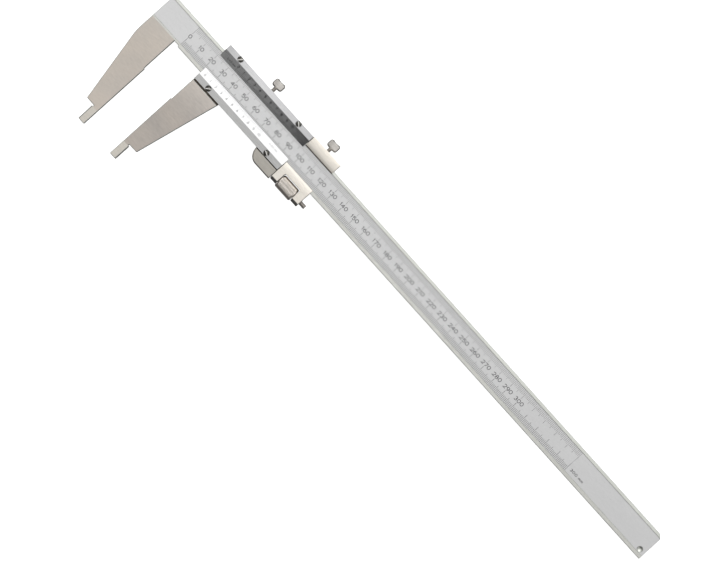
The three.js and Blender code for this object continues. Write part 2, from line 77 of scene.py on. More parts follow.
def span(node):
    """A CAD node's lowest and highest corner in the caliper's own millimetres."""
    low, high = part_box(node)
    return FROM_FRAME @ low, FROM_FRAME @ high


# Edges and flat faces
SHARP = math.radians(35)  # edges sharper than this are rounded and shade sharp
KNURL_SHARP = math.radians(12)
FLAT = math.radians(0.2)  # facets flatter than this are one face
NEAR = 0.1  # things this near each other meet
LEVEL = 0.01  # and these are at one height
FACES_UP = 0.99  # a face looks straight up when its normal's z is over this

# Width of the rounding of each piece's edges, and the share of it that its lesser edges get
BEAM_ROUNDING = 0.35
BEAM_OUTER_SHARE = 0.8
BEAM_STEP_SHARE = 0.4
JAW_ROUNDING = 0.32
CHANNEL_ROUNDING = 0.75
CHANNEL_SHARE = 0.2
PLATE_ROUNDING = 0.1
CARRIAGE_ROUNDING = 0.12
HEAD_ROUNDING = 0.06
PIN_ROUNDING = 0.08
GIB_ROUNDING = 0.06

# The beam's scale face, between its two rails
SCALE_TOP = 7.9
SCALE_BOTTOM = -7.5
SCALE_RECESS = 0.15

# Marks, which stand a hair above the metal like filled engraving
INK = 0.015
CROSSING_STEP = 0.15  # share of INK that a crossing stroke stands higher
MITRE_LIMIT = 0.45  # of a stroke's sharp corners
LINE_WIDTH = 0.15
END_LINE_WIDTH = 0.1  # across the scale at its last line
LOWER_LINE_WIDTH = 0.22  # of the beam's lower edge, drawn wider than the upper lines so that the lower band comes out darker
BEAM_ZERO = 3.8
BEAM_LAST = 350
BEAM_NUMBERS_TO = 300
BEAM_TOP_LINES = {1: 3.6, 5: 5.0, 10: 6.0}  # lengths by the step that a line marks
BEAM_BOTTOM_LINES = {1: 3.3, 5: 4.4, 10: 5.8}
DIGIT_HEIGHT = 2.25
DIGIT_WIDTH = 1.9
DIGIT_GAP = 0.66
DIGIT_STROKE = 0.36
DIGIT_SHIFT = 0.3  # the numbers stand a little right of their lines
RANGE = "300 mm"  # the measuring range, beyond the scale's end
RANGE_PLACE = (361.6, -4.3)
RANGE_HEIGHT = 1.5
RANGE_WIDTH = 1.4
RANGE_STROKE = 0.3

# Verniers: 50 divisions over 49 mm, numbered 0 to 10
VERNIER_DIVISIONS = 50
VERNIER_LENGTH = 49
VERNIER_LINES = {1: 2.0, 5: 2.6, 10: 3.0}
VERNIER_LOWER_ZERO = 27.8
VERNIER_UPPER_ZERO = 37.8
VERNIER_DIGIT_HEIGHT = 1.4
VERNIER_DIGIT_WIDTH = 1.0
VERNIER_DIGIT_GAP = 0.42
VERNIER_DIGIT_STROKE = 0.34
VERNIER_DIGIT_UP = 3.75  # centre of the digits, up the slope from the graduated edge
READING = "0.02 mm"  # what one division of a vernier reads
READING_HEIGHT = 1.05
READING_WIDTH = 0.78
READING_STROKE = 0.2
READING_UP = 2.35
UPPER_READING_X = 32.6
LOWER_READING_X = 88.5
UPPER_CREASE = 11.2
UPPER_EDGE = 5.9
LOWER_CREASE = -11.0
LOWER_EDGE = -5.6
PLATE_EDGE_Z = 4.45
PLATE_EDGE_REACH = 0.5  # the plates' thin edges lie within this of their graduated edges

# Screws
THREAD_PITCH = 0.5
THREAD_DEPTH = 0.27
THREAD_STEPS = 6  # rings in one pitch
ROD_SIDES = 28
CLAMP_RADIUS = 1.3
CLAMP_TIP = 0.25  # chamfer
CLAMP_ROOT = 0.5  # how far the rod runs up into the paddle
SPINDLE_TIP = 0.4  # chamfer
PADDLE_CORNER = 1.6
PADDLE_DIP = 0.35
PADDLE_RIM = 1.15
PADDLE_WAIST = 0.7
PADDLE_ROUNDING = 1.0
PADDLE_BOTTOM = 17.6
PADDLE_STEPS = 10  # of each corner and each long side
PADDLE_ROUND_STEPS = 6
PADDLE_RINGS = [0.86, 0.7, 0.5, 0.28, 0.06]  # sizes of the rings on its flat, against the outline
RIM_LEAN = 0.95  # the paddle's rim, which takes painted shade, is where its normal's z is under this
PLATE_SCREW_TURNS = {
    "upper_plate_screw_1": 52,
    "upper_plate_screw_2": -38,
    "lower_plate_screw_1": 40,
    "lower_plate_screw_2": -25,
}
LUG_BELOW = 0.6  # the lug starts this far below the lower bar
SLOT_BELOW = 0.7  # a plate screw's slot floor is lower than the plate's front by more than this

# Nut
NUT_TEETH = 64
NUT_TOOTH_DEPTH = 0.09
NUT_TOOTH = [(0.0, 0), (0.1, 0), (0.52, 1), (0.58, 1)]  # (share of the pitch, share of the depth)
NUT_BORE = 1.55
NUT_CHAMFER = 0.45
NUT_LAND = 0.8  # plain band at each end of the knurl
NUT_RUN_OUT = 0.2

# Jaws
NIB_TOP = -72.9
SEAM_REACH = 0.05  # an edge this near the seam belongs to it


# ------------------------------------------------------------------ materials

# Noise in cycles per millimetre along x, y and z
PATCHES = (0.22, 0.9, 0.9)
CLOUDS = (0.03, 0.045, 0.045)


def node_tree(name):
    """A new material, with its nodes and its shader."""
    material = bpy.data.materials.new(name)
    material.use_nodes = True
    tree = material.node_tree
    shader = tree.nodes["Principled BSDF"]
    return material, tree, shader


def noise(tree, scale, detail, roughness=0.5):
    """Noise in object space, with a scale in cycles per millimetre along x, y and z."""
    coords = tree.nodes.new("ShaderNodeTexCoord")
    mapping = tree.nodes.new("ShaderNodeMapping")
    mapping.inputs["Scale"].default_value = [s / MM for s in scale]
    texture = tree.nodes.new("ShaderNodeTexNoise")
    texture.inputs["Scale"].default_value = 1.0
    texture.inputs["Detail"].default_value = detail
    texture.inputs["Roughness"].default_value = roughness
    tree.links.new(coords.outputs["Object"], mapping.inputs["Vector"])
    tree.links.new(mapping.outputs["Vector"], texture.inputs["Vector"])
    return texture.outputs["Fac"]


def spread(tree, value, low, high):
    """Maps a noise's middle range onto low to high."""
    node = tree.nodes.new("ShaderNodeMapRange")
    node.inputs["From Min"].default_value = 0.3
    node.inputs["From Max"].default_value = 0.7
    node.inputs["To Min"].default_value = low
    node.inputs["To Max"].default_value = high
    tree.links.new(value, node.inputs["Value"])
    return node.outputs["Result"]


def math_node(tree, operation, a, b):
    """The result of an operation on two values, each a number or a socket."""
    node = tree.nodes.new("ShaderNodeMath")
    node.operation = operation
    for socket, value in zip(node.inputs, (a, b)):
        if isinstance(value, (int, float)):
            socket.default_value = value
        else:
            tree.links.new(value, socket)
    return node.outputs["Value"]


def tone_along(tree, axis, start, end, stops):
    """Painted light and shade: a brightness factor along an axis of the object's own space, following
    stops of (share of the way from start to end less a half, factor).
    """
    coords = tree.nodes.new("ShaderNodeTexCoord")
    split = tree.nodes.new("ShaderNodeSeparateXYZ")
    tree.links.new(coords.outputs["Object"], split.inputs[0])
    node = tree.nodes.new("ShaderNodeMapRange")
    index = "XYZ".index(axis)
    node.inputs["From Min"].default_value = ORIGIN[index] + start * MM
    node.inputs["From Max"].default_value = ORIGIN[index] + end * MM
    tree.links.new(split.outputs[axis], node.inputs["Value"])
    return brightness_ramp(tree, node.outputs["Result"], 1, stops)


def brightness_ramp(tree, share, extent, stops):
    """A smooth curve of brightness up to 2. share runs from 0 to 1 where the stops run over extent."""
    ramp = tree.nodes.new("ShaderNodeValToRGB")
    ramp.color_ramp.interpolation = "B_SPLINE"
    elements = ramp.color_ramp.elements
    while len(elements) > 1:
        elements.remove(elements[-1])
    for i, (at, bright) in enumerate(stops):
        place = at / extent + 0.5
        element = elements[0] if i == 0 else elements.new(place)
        element.position = place
        element.color = (bright / 2, bright / 2, bright / 2, 1)
    tree.links.new(share, ramp.inputs[0])
    return math_node(tree, "MULTIPLY", ramp.outputs["Color"], 2.0)


def metal(name, colour, roughness, grain, streak=0.05, mottle=0.04, cloud=0.03, bump=0.02, warm=0.0,
          painted_shading=None):
    """Bare metal. grain is the size of one scratch, in millimetres along x, y and z. The last argument, if
    given, multiplies the colour with painted light and shade along an axis.
    """
    material, tree, shader = node_tree(name)
    fine = noise(tree, [1 / size for size in grain], 4, 0.6)
    patches = noise(tree, PATCHES, 3, 0.65)
    clouds = noise(tree, CLOUDS, 2, 0.5)
    shade = math_node(tree, "MULTIPLY", spread(tree, fine, 1 - streak, 1 + streak),
                      spread(tree, patches, 1 - mottle, 1 + mottle))
    shade = math_node(tree, "MULTIPLY", shade, spread(tree, clouds, 1 - cloud, 1 + cloud))
    # painted light and shade along an axis, where one is given
    if painted_shading:
        shade = math_node(tree, "MULTIPLY", shade, tone_along(tree, *painted_shading))
    tint = tree.nodes.new("ShaderNodeMix")
    tint.data_type = "RGBA"
    tint.inputs[6].default_value = (*colour, 1)
    tint.inputs[7].default_value = (colour[0] * (1 + warm), colour[1], colour[2] * (1 - warm), 1)
    tree.links.new(spread(tree, clouds, 0, 1), tint.inputs["Factor"])
    scaled = tree.nodes.new("ShaderNodeVectorMath")
    scaled.operation = "SCALE"
    tree.links.new(tint.outputs[2], scaled.inputs[0])
    tree.links.new(shade, scaled.inputs["Scale"])
    tree.links.new(scaled.outputs["Vector"], shader.inputs["Base Color"])
    rough = math_node(tree, "MULTIPLY", spread(tree, fine, 0.85, 1.15), spread(tree, patches, 0.9, 1.1))
    tree.links.new(math_node(tree, "MULTIPLY", rough, roughness), shader.inputs["Roughness"])
    relief = tree.nodes.new("ShaderNodeBump")
    relief.inputs["Strength"].default_value = 1.0
    relief.inputs["Distance"].default_value = bump * MM
    tree.links.new(fine, relief.inputs["Height"])
    tree.links.new(relief.outputs["Normal"], shader.inputs["Normal"])
    shader.inputs["Metallic"].default_value = 1.0
    return material


def ink(name, colour):
    """Matt paint in an engraved mark, a little uneven."""
    material, tree, shader = node_tree(name)
    wear = noise(tree, (3, 3, 3), 3)
    scaled = tree.nodes.new("ShaderNodeVectorMath")
    scaled.operation = "SCALE"
    scaled.inputs[0].default_value = colour
    tree.links.new(spread(tree, wear, 0.75, 1.25), scaled.inputs["Scale"])
    tree.links.new(scaled.outputs["Vector"], shader.inputs["Base Color"])
    tree.links.new(spread(tree, wear, 0.45, 0.65), shader.inputs["Roughness"])
    return material


slider_low, slider_high = span("slider_frame")
bar_ends = ("X", slider_low.x, slider_high.x)
SATIN = metal("satin_chrome", (0.645, 0.645, 0.645), 0.34, (0.9, 0.25, 0.25), 0.05, 0.03, 0.02)
RAIL = metal("lapped_rail", (0.68, 0.69, 0.645), 0.26, (7.0, 0.10, 0.10), 0.07, 0.05, 0.03)
# A darker copy of the rail steel for the lower rail, with more uneven streaks.
LOWER_RAIL = metal("darker_lower_rail", (0.60, 0.60, 0.565), 0.26, (7.0, 0.10, 0.10), 0.09, 0.07, 0.05)
# The jaws' last argument is painted light along y: the fixed jaw a little lighter at its tip and next to
# the beam, the moving jaw much lighter towards its root under the slider.
GROUND = metal("ground_steel", (0.53, 0.49, 0.445), 0.36, (3.0, 0.14, 0.14), 0.12, 0.05, 0.05, warm=0.03,
               painted_shading=("Y", -60, 0, [(-0.5, 1.03), (-0.2, 1.0), (0.1, 1.0), (0.4, 1.08)]))
BLADE = metal("ground_blade", (0.43, 0.40, 0.37), 0.36, (3.0, 0.14, 0.14), 0.13, 0.07, 0.08, warm=0.03,
              painted_shading=("Y", -60, 0, [(-0.5, 1.03), (-0.2, 1.0), (0.0, 1.08), (0.3, 1.45)]))
NIB = metal("lapped_nib", (0.585, 0.555, 0.50), 0.30, (6.0, 0.14, 0.14), 0.10, 0.06, 0.03)
BODY = metal("body_steel", (0.44, 0.42, 0.38), 0.36, (6.0, 0.14, 0.14), 0.16, 0.08, 0.05, warm=0.02)
# The plates' last argument is painted shade along the slider: the upper slope darkens steeply towards the
# end away from the jaw, and the upper bar is darker at both ends.
UPPER_SLOPE = metal("upper_slope", (0.66, 0.66, 0.66), 0.30, (4.0, 0.15, 0.15), 0.06, 0.04, 0.03,
                    painted_shading=(*bar_ends, [(-0.5, 1.12), (0.0, 1.0), (0.3, 0.82), (0.5, 0.35)]))
LOWER_SLOPE = metal("lower_slope", (0.66, 0.66, 0.66), 0.30, (4.0, 0.15, 0.15), 0.06, 0.04, 0.02)
UPPER_BAR = metal("upper_bar", (0.655, 0.655, 0.66), 0.30, (5.0, 0.15, 0.15), 0.06, 0.05, 0.04,
                  painted_shading=(*bar_ends, [(-0.5, 0.75), (-0.35, 0.9), (-0.2, 1.0), (0.2, 1.0), (0.5, 0.78)]))
LOWER_BAR = metal("lower_bar", (0.465, 0.465, 0.46), 0.30, (5.0, 0.15, 0.15), 0.07, 0.05, 0.05)
PLATED = metal("plated_steel", (0.735, 0.70, 0.64), 0.24, (5.0, 0.2, 0.2), 0.05, 0.04, 0.03, warm=0.02)
# Painted shadow: dark brown on the sloping side of the carriage's upper lip, for the shadow line that the
# lip casts onto the beam.
LIP_SHADOW = metal("lip_painted_shadow", (0.34, 0.28, 0.23), 0.30, (4.0, 0.2, 0.2), 0.08, 0.06, 0.04)
# Painted shade: darker steel on the rounded edges of the beam and the jaws, which draws dark lines along
# them.
EDGE_SHADE = metal("edge_painted_shade", (0.46, 0.47, 0.445), 0.34, (4.0, 0.2, 0.2), 0.08, 0.06, 0.04)
# Painted light on the plate screws: a painted highlight on the floors of the slots and a painted dark
# reflection on the heads.
PAINTED_BRIGHT_SLOT = metal("slot_painted_highlight", (0.80, 0.79, 0.76), 0.25, (0.4, 0.4, 0.4), 0.08, 0.05, 0.03)
PAINTED_DARK_HEAD = metal("head_painted_dark_reflection", (0.15, 0.145, 0.13), 0.16, (0.5, 0.5, 0.5), 0.08, 0.06, 0.04)
SCREW = metal("screw_steel", (0.36, 0.35, 0.32), 0.16, (0.5, 0.5, 0.5), 0.06, 0.05, 0.03)
THUMB = metal("thumb_screw_steel", (0.53, 0.505, 0.475), 0.28, (0.4, 0.4, 0.4), 0.10, 0.08, 0.05)
# Painted shade: a dark copy of the thumb screw steel for the paddle's rim, picked by how far its faces
# lean.
THUMB_RIM_SHADE = metal("thumb_screw_rim_painted_shade", (0.17, 0.165, 0.155), 0.30, (0.4, 0.4, 0.4), 0.10, 0.08, 0.05)
TURNED = metal("nut_steel", (0.62, 0.575, 0.525), 0.14, (0.25, 2.0, 2.0), 0.06, 0.04, 0.03)
BRONZE = metal("bronze", (0.48, 0.30, 0.12), 0.35, (4.0, 0.2, 0.2), 0.08, 0.05, 0.04)
SCALE_INK = ink("scale_ink", (0.03, 0.03, 0.034))
UPPER_INK = ink("upper_vernier_ink", (0.02, 0.02, 0.022))
LOWER_INK = ink("lower_vernier_ink", (0.42, 0.42, 0.425))


# ------------------------------------------------------------------ making pieces


def add_piece(name, bm, body, materials, replaces=(), sharp=SHARP):
    """Turns a bmesh in millimetres into a piece that rides on a CAD body."""
    mesh = bpy.data.meshes.new(name)
    bmesh.ops.recalc_face_normals(bm, faces=bm.faces)
    bm.to_mesh(mesh)
    bm.free()
    mesh.transform(TO_FRAME)
    mesh.shade_smooth()
    mesh.set_sharp_from_angle(angle=sharp)
    for material in materials:
        mesh.materials.append(material)
    piece = bpy.data.objects.new(name, mesh)
    scene.collection.objects.link(piece)
    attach(piece, body)
    if replaces:
        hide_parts(*replaces)
    return piece


def round_edges(piece, width, edge_shade_material, segments=3):
    """Rounds the edges by their bevel weight; width is that of an edge of weight 1.

    The roundings take the material given for them if there is one; the one given is painted shade, darker
    steel that draws lines along the edges.
    """
    bevel = piece.modifiers.new("round_edges", "BEVEL")
    if edge_shade_material:
        piece.data.materials.append(edge_shade_material)
        bevel.material = len(piece.data.materials) - 1
    bevel.limit_method = "WEIGHT"
    bevel.width = width * MM
    bevel.segments = segments
    bevel.use_clamp_overlap = False
    bevel.miter_outer = "MITER_ARC"
    shading = piece.modifiers.new("flat_faces", "WEIGHTED_NORMAL")
    shading.mode = "FACE_AREA"
    shading.weight = 100
    shading.keep_sharp = True
    return piece


def refined(name, node, body, materials, edge, weigh=None, turn=0.0, material_of=None, split_y=None,
            edge_shade_material=None):
    """A copy of a CAD node with whole flat faces and rounded edges, which stands for that node."""
    bm = bmesh.new()
    bm.from_mesh(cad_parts[node].data)
    bm.transform(FROM_FRAME)
    bmesh.ops.remove_doubles(bm, verts=bm.verts, dist=WELD)
    bmesh.ops.dissolve_limit(bm, angle_limit=FLAT, verts=bm.verts, edges=bm.edges)
    if split_y is not None:
        geometry = bm.verts[:] + bm.edges[:] + bm.faces[:]
        bmesh.ops.bisect_plane(bm, geom=geometry, plane_co=(0, split_y, 0), plane_no=(0, 1, 0))
    if turn:
        low, high = span(node)
        spin = Matrix.Rotation(math.radians(turn), 3, "Z")
        bmesh.ops.rotate(bm, cent=(low + high) / 2, matrix=spin, verts=bm.verts)
    weights = bm.edges.layers.float.new("bevel_weight_edge")
    for e in bm.edges:
        if len(e.link_faces) == 2 and e.calc_face_angle() > SHARP:
            e[weights] = weigh(e) if weigh else 1.0
    for face in bm.faces:
        face.material_index = material_of(face) if material_of else 0
    piece = add_piece(name, bm, body, materials, [node])
    return round_edges(piece, edge, edge_shade_material)


def loft(bm, loops, closed_ends=True):
    """Joins closed loops of points, each with the same number, into a skin."""
    rings = [[bm.verts.new(p) for p in loop] for loop in loops]
    count = len(rings[0])
    for a, b in zip(rings, rings[1:]):
        for i in range(count):
            j = (i + 1) % count
            bm.faces.new((a[i], a[j], b[j], b[i]))
    if closed_ends:
        bm.faces.new(rings[0][::-1])
        bm.faces.new(rings[-1])
    return rings


def prism(bm, outline, plane, depth=INK):
    """A closed flat outline of (u, v) points, raised and buried by depth on a plane."""
    low = [bm.verts.new(plane @ Vector((u, v, -depth))) for u, v in outline]
    high = [bm.verts.new(plane @ Vector((u, v, depth))) for u, v in outline]
    bm.faces.new(low[::-1])
    bm.faces.new(high)
    for i in range(len(outline)):
        j = (i + 1) % len(outline)
        bm.faces.new((low[i], low[j], high[j], high[i]))


# ------------------------------------------------------------------ numerals


def arc(x, y, rx, ry, start, end, steps=14):
    """Points of an ellipse's arc, with angles in degrees."""
    points = []
    for i in range(steps + 1):
        angle = math.radians(start + (end - start) * i / steps)
        points.append((x + rx * math.cos(angle), y + ry * math.sin(angle)))
    return points


# Each numeral is a list of strokes in a square of half size 0.5.
NUMERALS = {
    "0": [arc(0, 0, 0.5, 0.5, 90, 450, 28)],
    "1": [[(-0.2, 0.26), (0.08, 0.5), (0.08, -0.5)]],
    "2": [arc(0, 0.2, 0.46, 0.3, 170, -35) + [(-0.48, -0.5), (0.5, -0.5)]],
    "3": [arc(-0.02, 0.25, 0.4, 0.25, 150, -90), arc(-0.02, -0.25, 0.48, 0.25, 90, -150)],
    "4": [[(0.24, -0.5), (0.24, 0.5)], [(0.24, 0.5), (-0.5, -0.2), (0.5, -0.2)]],
    "5": [[(0.42, 0.5), (-0.36, 0.5), (-0.42, 0.05)] + arc(-0.02, -0.17, 0.5, 0.33, 130, -150)],
    "6": [arc(0, -0.2, 0.5, 0.3, 90, 450, 24), arc(0.35, -0.2, 0.85, 0.7, 100, 180)],
    "7": [[(-0.48, 0.5), (0.5, 0.5), (-0.12, -0.5)]],
    "8": [arc(0, 0.26, 0.38, 0.24, 90, 450, 22), arc(0, -0.24, 0.5, 0.26, 90, 450, 24)],
    "9": [arc(0, 0.2, 0.5, 0.3, 90, 450, 24), arc(-0.35, 0.2, 0.85, 0.7, -80, 0)],
    ".": [[(0, -0.5), (0, -0.38)]],
    "m": [[(-0.5, -0.5), (-0.5, 0.1)],
          [(-0.5, -0.1)] + arc(-0.25, -0.1, 0.25, 0.22, 160, 0, 8) + [(0, -0.5)],
          [(0, -0.1)] + arc(0.25, -0.1, 0.25, 0.22, 160, 0, 8) + [(0.5, -0.5)]],
    " ": [],
}
NARROW = {"1": 0.5, ".": 0.15, " ": 0.3}  # widths of the narrow ones, against the others'


def stroke(bm, points, width, plane, depth):
    """A ribbon of constant width along points; one that ends where it starts is a ring."""
    ring = math.dist(points[0], points[-1]) < 1e-6
    if ring:
        points = points[:-1]
    count = len(points)
    sides = []
    for i, (x, y) in enumerate(points):
        before = points[(i - 1) % count] if ring or i > 0 else points[i]
        after = points[(i + 1) % count] if ring or i < count - 1 else points[i]
        into = Vector((x - before[0], y - before[1]))
        out = Vector((after[0] - x, after[1] - y))
        into = into.normalized() if into.length > 0 else out.normalized()
        out = out.normalized() if out.length > 0 else into
        middle = (into + out).normalized()
        reach = width / 2 / max(MITRE_LIMIT, middle.dot(out))
        sides.append((Vector((x, y)) + Vector((-middle.y, middle.x)) * reach,
                      Vector((x, y)) - Vector((-middle.y, middle.x)) * reach))
    corners = [
        [bm.verts.new(plane @ Vector((p.x, p.y, z))) for p, z in
         ((left, -depth), (left, depth), (right, depth), (right, -depth))]
        for left, right in sides
    ]
    pairs = list(zip(corners, corners[1:]))
    if ring:
        pairs.append((corners[-1], corners[0]))
    for a, b in pairs:
        for i in range(4):
            j = (i + 1) % 4
            bm.faces.new((a[i], a[j], b[j], b[i]))
    if not ring:
        bm.faces.new(corners[0][::-1])
        bm.faces.new(corners[-1])


def number(bm, text, u, v, height, width, gap, thick, plane):
    """Draws a number centred on (u, v). Strokes that cross differ a little in height."""
    widths = [width * NARROW.get(digit, 1.0) for digit in text]
    x = u - (sum(widths) + gap * (len(text) - 1)) / 2
    for digit, own_width in zip(text, widths):
        centre = x + own_width / 2
        for level, strokes in enumerate(NUMERALS[digit]):
            points = [(centre + px * width, v + py * height) for px, py in strokes]
            stroke(bm, points, thick, plane, INK * (1 + CROSSING_STEP * level))
        x += own_width + gap


def line_length(index, lengths):
    """The length of line number index, by the largest step that it marks."""
    return lengths[max(step for step in lengths if index % step == 0)]


# ------------------------------------------------------------------ beam and its scale

rail_z = span("beam")[1].z
scale_z = rail_z - SCALE_RECESS
seam_y = span("fixed_jaw")[1].y  # where the fixed jaw meets the beam, flush and without a groove


def beam_edge_weight(e):
    """The low steps beside the rails get a finer rounding than the outer edges, and the seam none."""
    middle = (e.verts[0].co + e.verts[1].co) / 2
    if abs(middle.y - seam_y) < SEAM_REACH and middle.x < 0:
        return 0.0
    on_step = SCALE_BOTTOM - NEAR < middle.y < SCALE_TOP + NEAR and middle.z > scale_z - LEVEL
    along = abs((e.verts[0].co - e.verts[1].co).y) < LEVEL
    return BEAM_STEP_SHARE if on_step and along else BEAM_OUTER_SHARE


def beam_material(face):
    """0 is the scale face, 1 the bare steel of the upper rail, edges and back, and 2 the lower rail."""
    centre = face.calc_center_median()
    if face.normal.z < 0.9:
        return 1
    if centre.z < rail_z - SCALE_RECESS / 2:
        return 0
    return 2 if centre.y < 0 else 1


refined("beam_body", "beam", "beam", [SATIN, RAIL, LOWER_RAIL], BEAM_ROUNDING,
        beam_edge_weight, material_of=beam_material, edge_shade_material=EDGE_SHADE)


def jaw_material(face):
    """0 is the blade and 1 the nib below its shoulder."""
    return 1 if face.calc_center_median().y < NIB_TOP else 0


def fixed_jaw_edge_weight(e):
    """All edges are rounded but those of the seam."""
    middle = (e.verts[0].co + e.verts[1].co) / 2
    return 0.0 if middle.y > seam_y - SEAM_REACH else 1.0


refined("fixed_jaw_blade", "fixed_jaw", "beam", [GROUND, NIB], JAW_ROUNDING,
        fixed_jaw_edge_weight, material_of=jaw_material, split_y=NIB_TOP, edge_shade_material=EDGE_SHADE)


def beam_scale():
    """Lines every millimetre from both rails inwards, and a number every ten."""
    plane = Matrix.Translation((0, 0, scale_z))
    lines = bmesh.new()
    for i in range(BEAM_LAST + 1):
        x = BEAM_ZERO + i
        for edge, inward, lengths, width in (
            (SCALE_TOP, -1, BEAM_TOP_LINES, LINE_WIDTH),
            (SCALE_BOTTOM, 1, BEAM_BOTTOM_LINES, LOWER_LINE_WIDTH),
        ):
            v = edge + inward * line_length(i, lengths)
            half = width / 2
            prism(lines, [(x - half, edge), (x + half, edge), (x + half, v), (x - half, v)], plane)
    last = BEAM_ZERO + BEAM_LAST
    half = END_LINE_WIDTH / 2
    low, high = SCALE_BOTTOM + BEAM_BOTTOM_LINES[10], SCALE_TOP - BEAM_TOP_LINES[10]
    prism(lines, [(last - half, low), (last + half, low), (last + half, high), (last - half, high)], plane)
    add_piece("beam_scale_lines", lines, "beam", [SCALE_INK])
    numbers = bmesh.new()
    for value in range(0, BEAM_NUMBERS_TO + 1, 10):
        number(numbers, str(value), BEAM_ZERO + value + DIGIT_SHIFT, 0, DIGIT_HEIGHT, DIGIT_WIDTH,
               DIGIT_GAP, DIGIT_STROKE, plane)
    number(numbers, RANGE, *RANGE_PLACE, RANGE_HEIGHT, RANGE_WIDTH, DIGIT_GAP, RANGE_STROKE, plane)
    add_piece("beam_scale_numbers", numbers, "beam", [SCALE_INK])


beam_scale()


# ------------------------------------------------------------------ slider

bar_low = span("lower_vernier_plate")[0].y


def channel_edge_weight(e):
    """The front of the lug below the lower bar has the largest rounding."""
    middle = (e.verts[0].co + e.verts[1].co) / 2
    on_lug = middle.y < bar_low - LUG_BELOW and middle.x < slider_high.x - NEAR
    return 1.0 if on_lug and middle.z > rail_z else CHANNEL_SHARE


def plate_material(face):
    """0 is the flat bar and 1 the graduated slope with its thin edge."""
    sloped = 0.5 < face.normal.z < FACES_UP
    by_edge = abs(face.calc_center_median().y) < abs(LOWER_EDGE) + PLATE_EDGE_REACH
    return 1 if sloped or by_edge else 0


refined("slider_channel", "slider_frame", "slider", [BODY], CHANNEL_ROUNDING,
        channel_edge_weight)
refined("moving_jaw_blade", "moving_jaw", "slider", [BLADE, NIB], JAW_ROUNDING,
        material_of=jaw_material, split_y=NIB_TOP, edge_shade_material=EDGE_SHADE)
refined("upper_vernier", "upper_vernier_plate", "slider", [UPPER_BAR, UPPER_SLOPE],
        PLATE_ROUNDING, material_of=plate_material)
refined("lower_vernier", "lower_vernier_plate", "slider", [LOWER_BAR, LOWER_SLOPE],
        PLATE_ROUNDING, material_of=plate_material)


def vernier_scale(name, zero, reading_x, edge_y, crease_y, front_z, paint):
    """Lines and numbers on a plate's slope, with v measured up the slope from its thin edge."""
    rise = front_z - PLATE_EDGE_Z
    run = crease_y - edge_y
    up = Vector((0, run, rise)).normalized()
    # The plane's x runs along the beam and its y upright on both plates, so their numbers read alike.
    side = 1 if run > 0 else -1
    along = Vector((1, 0, 0))
    plane = Matrix((along, up * side, along.cross(up) * side)).transposed().to_4x4()
    plane.translation = (0, edge_y, PLATE_EDGE_Z)
    bm = bmesh.new()
    half = LINE_WIDTH / 2
    for i in range(VERNIER_DIVISIONS + 1):
        x = zero + i * VERNIER_LENGTH / VERNIER_DIVISIONS
        v = side * line_length(i, VERNIER_LINES)
        prism(bm, [(x - half, 0), (x + half, 0), (x + half, v), (x - half, v)], plane)
    for value in range(11):
        x = zero + value * VERNIER_LENGTH / 10
        number(bm, str(value), x, side * VERNIER_DIGIT_UP, VERNIER_DIGIT_HEIGHT,
               VERNIER_DIGIT_WIDTH, VERNIER_DIGIT_GAP, VERNIER_DIGIT_STROKE, plane)
    number(bm, READING, reading_x, side * READING_UP, READING_HEIGHT, READING_WIDTH,
           VERNIER_DIGIT_GAP, READING_STROKE, plane)
    add_piece(name, bm, "slider", [paint])


plate_z = span("upper_vernier_plate")[1].z
vernier_scale("upper_vernier_marks", VERNIER_UPPER_ZERO, UPPER_READING_X, UPPER_EDGE, UPPER_CREASE,
              plate_z, UPPER_INK)
vernier_scale("lower_vernier_marks", VERNIER_LOWER_ZERO, LOWER_READING_X, LOWER_EDGE, LOWER_CREASE,
              plate_z, LOWER_INK)


def head_material(face):
    """0 is the head, with a painted dark reflection, and 1 the floor of its slot, with a painted
    highlight.
    """
    deep = face.calc_center_median().z < plate_z - SLOT_BELOW
    return 1 if deep and face.normal.z > FACES_UP else 0


for screw, angle in PLATE_SCREW_TURNS.items():
    refined(screw + "_head", screw, "slider", [PAINTED_DARK_HEAD, PAINTED_BRIGHT_SLOT], HEAD_ROUNDING,
            turn=angle, material_of=head_material)
for screw in ("gib_set_screw_1", "gib_set_screw_2"):
    refined(screw + "_body", screw, "slider", [SCREW], PIN_ROUNDING)
refined("slider_gib_strip", "slider_gib", "slider_gib", [BRONZE], GIB_ROUNDING)


# ------------------------------------------------------------------ screws with threads


def threaded_rod(bm, place, radius, start, end, chamfer, thread_from):
    """A rod along its own z with a V thread, placed by a matrix. The thread starts at thread_from."""
    step = THREAD_PITCH / THREAD_STEPS
    stations = [start]
    at = max(start, thread_from)
    if at > start:
        stations.append(at - step)
    while at < end - step / 2:
        if at > stations[-1] + step / 4:
            stations.append(at)
        at += step
    stations.append(end)
    loops = []
    for z in stations:
        loop = []
        for i in range(ROD_SIDES):
            turn = i / ROD_SIDES
            r = radius
            if z >= thread_from:
                phase = (z / THREAD_PITCH - turn) % 1.0
                r -= THREAD_DEPTH * (1 - abs(2 * phase - 1))
            r = min(r, radius - chamfer + (end - z), radius - chamfer + (z - start))
            angle = 2 * math.pi * turn
            loop.append(place @ Vector((r * math.cos(angle), r * math.sin(angle), z)))
        loops.append(loop)
    loft(bm, loops)


def along_x(x, y, z):
    """A matrix whose z axis runs along x from a point."""
    return Matrix.Translation((x, y, z)) @ Matrix.Rotation(math.pi / 2, 4, "Y")


def along_y(x, y, z):
    """A matrix whose z axis runs along y from a point."""
    return Matrix.Translation((x, y, z)) @ Matrix.Rotation(-math.pi / 2, 4, "X")


